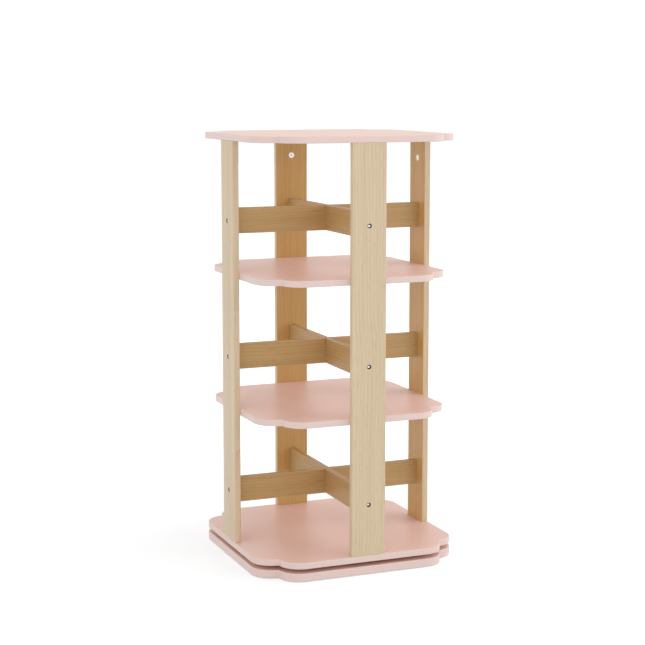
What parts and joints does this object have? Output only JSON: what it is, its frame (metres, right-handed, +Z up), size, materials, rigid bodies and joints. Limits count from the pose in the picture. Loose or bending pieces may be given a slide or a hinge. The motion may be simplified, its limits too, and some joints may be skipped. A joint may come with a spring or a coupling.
{
  "type": "revolving bookcase",
  "caption": "Free-standing tiered bookcase that turns on a ball-bearing base, with side posts, crossed rails and boards with notched round corners.",
  "frame": {"origin": "on the floor, on the turning axis, at the middle of the base", "axes": "+Z up along the turning axis and the object's height; -Y towards the front post, +X towards the right-hand post"},
  "size_m": [0.4, 0.4, 0.8],
  "materials": {
    "painted_board": "satin pale pink paint on board",
    "post_wood": "satin pale wood with fine upright grain",
    "rail_wood": "satin pale wood with fine lengthwise grain",
    "screw_steel": "bright zinc plate",
    "cam_metal": "cast zinc, matt",
    "turntable_metal": "turned aluminium",
    "ball_steel": "polished steel",
    "cage_plastic": "natural nylon",
    "pad_foam": "matt foam rubber",
    "dowel_beech": "plain beech"
  },
  "bodies": {
    "stand": {"base_board": "painted_board", "base_pads": "pad_foam", "turntable_outer_ring": "turntable_metal", "outer_ring_screws": "screw_steel"},
    "ball_set": {"ball_cage": "cage_plastic", "bearing_balls": "ball_steel"},
    "carcass": {"bottom_board": "painted_board", "foot_screws": "screw_steel", "inner_ring_screws": "screw_steel", "post_back": "post_wood", "post_front": "post_wood", "post_left": "post_wood", "post_right": "post_wood", "rail_lower_across": "rail_wood", "rail_lower_deep": "rail_wood", "rail_middle_across": "rail_wood", "rail_middle_deep": "rail_wood", "rail_screws": "screw_steel", "rail_upper_across": "rail_wood", "rail_upper_deep": "rail_wood", "shelf_cam_bolts": "screw_steel", "shelf_cam_locks": "cam_metal", "shelf_lower": "painted_board", "shelf_upper": "painted_board", "top_board": "painted_board", "top_cam_bolts": "screw_steel", "top_cam_locks": "cam_metal", "top_dowels": "dowel_beech", "turntable_inner_ring": "turntable_metal"}
  },
  "joints": [
    {"name": "carcass_turn", "type": "hinge", "parent": "stand", "child": "carcass", "pos_m": [0, 0, 0.02], "axis": [0, 0, 1], "continuous": true},
    {"name": "ball_set_turn", "type": "hinge", "parent": "stand", "child": "ball_set", "pos_m": [0, 0, 0.02], "axis": [0, 0, 1], "continuous": true}
  ],
  "couplings": [
    {"joint": "ball_set_turn", "follows": "carcass_turn", "ratio": 0.5}
  ]
}
